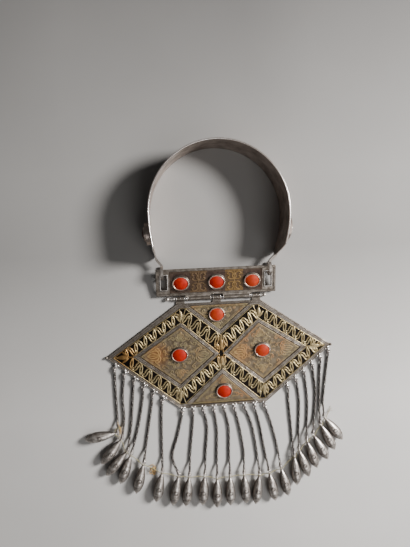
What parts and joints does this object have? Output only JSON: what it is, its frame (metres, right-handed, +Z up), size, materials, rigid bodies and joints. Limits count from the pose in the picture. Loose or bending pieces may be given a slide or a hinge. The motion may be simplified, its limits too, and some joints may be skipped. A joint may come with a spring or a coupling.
{
  "type": "chest ornament",
  "caption": "Six-sided silver chest plate set with carnelians, hinged to a slotted bar that hooks to a stiff neck collar, with chains and almond drops along its lower edges.",
  "frame": {"origin": "middle of the bounding box's underside, on the surface that the ornament lies on", "axes": "+Z up from the surface to the ornament's front, +Y from the chest plate to the neck collar, +X to the right as seen from the front"},
  "size_m": [0.231, 0.3212, 0.032],
  "materials": {
    "silver": "worn, tarnished silver with gilding",
    "dark_silver": "dark tarnished silver",
    "chain_silver": "tarnished fine chain",
    "carnelian": "polished stone",
    "cotton": "twisted cotton thread"
  },
  "bodies": {
    "plaque": {"chest_plate": "silver", "plate_stone_left": "carnelian", "plate_stone_right": "carnelian", "plate_stone_top": "carnelian", "plate_stone_low": "carnelian", "chain_01": "chain_silver", "chain_02": "chain_silver", "chain_03": "chain_silver", "chain_04": "chain_silver", "chain_05": "chain_silver", "chain_06": "chain_silver", "chain_07": "chain_silver", "chain_08": "chain_silver", "chain_09": "chain_silver", "chain_10": "chain_silver", "chain_11": "chain_silver", "chain_12": "chain_silver", "chain_13": "chain_silver", "chain_14": "chain_silver", "chain_15": "chain_silver", "chain_16": "chain_silver", "chain_17": "chain_silver", "chain_18": "chain_silver", "chain_19": "chain_silver", "chain_20": "chain_silver", "chain_21": "chain_silver", "drop_01": "silver", "drop_02": "silver", "drop_03": "silver", "drop_04": "silver", "drop_05": "silver", "drop_06": "silver", "drop_07": "silver", "drop_08": "silver", "drop_09": "silver", "drop_10": "silver", "drop_11": "silver", "drop_12": "silver", "drop_13": "silver", "drop_14": "silver", "drop_15": "silver", "drop_16": "silver", "drop_17": "silver", "drop_18": "silver", "drop_19": "silver", "drop_20": "silver", "drop_21": "silver", "tie_thread": "cotton", "thread_knot": "cotton", "thread_tangle": "cotton"},
    "bar": {"hinge_pin": "dark_silver", "bar_plate": "silver", "bar_stone_left": "carnelian", "bar_stone_middle": "carnelian", "bar_stone_right": "carnelian"},
    "collar": {"collar_band": "dark_silver", "collar_stone_left": "carnelian", "collar_stone_right": "carnelian"}
  },
  "joints": [
    {"name": "bar_hinge", "type": "hinge", "parent": "plaque", "child": "bar", "pos_m": [0, 0.02891, 0.0022], "axis": [1, 0, 0], "range_deg": [-90, 60]},
    {"name": "collar_hooks", "type": "hinge", "parent": "bar", "child": "collar", "pos_m": [0, 0.0527, 0.00665], "axis": [1, 0, 0], "range_deg": [-80, 20]}
  ]
}
